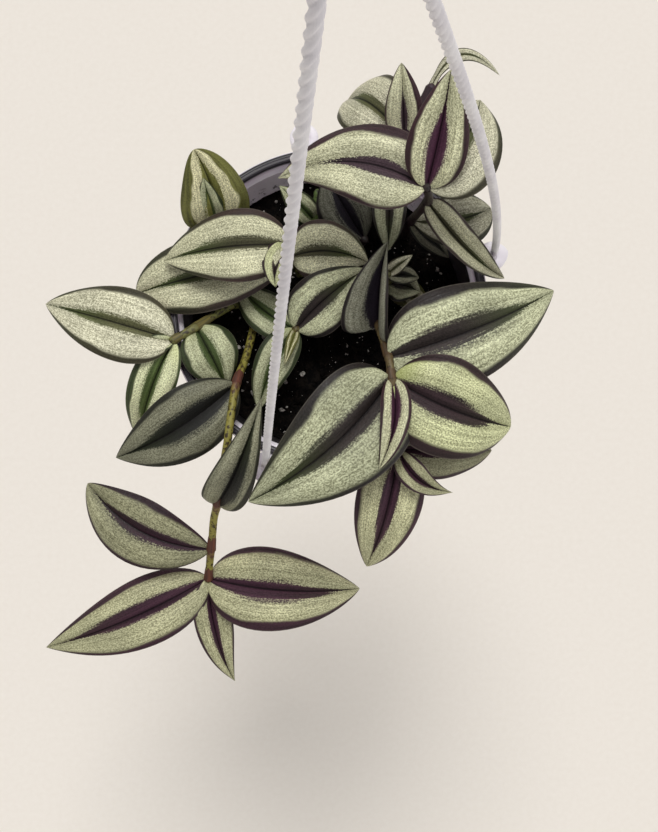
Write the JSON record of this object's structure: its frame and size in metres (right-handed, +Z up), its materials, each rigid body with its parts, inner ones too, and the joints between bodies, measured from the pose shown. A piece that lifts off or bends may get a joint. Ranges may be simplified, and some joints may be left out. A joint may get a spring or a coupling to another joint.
{
  "type": "potted silver inch plant",
  "caption": "Silver inch plant with striped leaves trailing over the rim of a small white hanging pot, on a moulded strand hanger with a hook.",
  "frame": {"origin": "where the crook of the hook bears on what it hangs from, straight above the middle of the pot", "axes": "+Z up along the pot's axis, +X to the right and +Y to the back of the pot as the picture shows it from above"},
  "size_m": [0.197, 0.2329, 0.4593],
  "materials": {
    "pot_plastic": "smooth white moulded plastic with a faint lilac cast",
    "hanger_plastic": "white moulded plastic with a rope twist",
    "potting_mix": "damp dark potting mix with white perlite",
    "striped_leaf": "satin leaf, silver green bands beside a dark purple midrib and margin, purple beneath"
  },
  "bodies": {
    "root": {"pot": "pot_plastic", "soil": "potting_mix", "hanger_strand_left": "hanger_plastic", "hanger_strand_right": "hanger_plastic", "hanger_strand_back": "hanger_plastic", "hanger_hook": "hanger_plastic", "trailing_stem": "striped_leaf", "front_right_stem": "striped_leaf", "left_stem": "striped_leaf", "upper_left_stem": "striped_leaf", "rim_stem": "striped_leaf", "middle_stem": "striped_leaf", "tall_stem": "striped_leaf", "back_stem": "striped_leaf", "centre_stem": "striped_leaf", "slim_stem": "striped_leaf", "low_stem": "striped_leaf"}
  },
  "joints": []
}
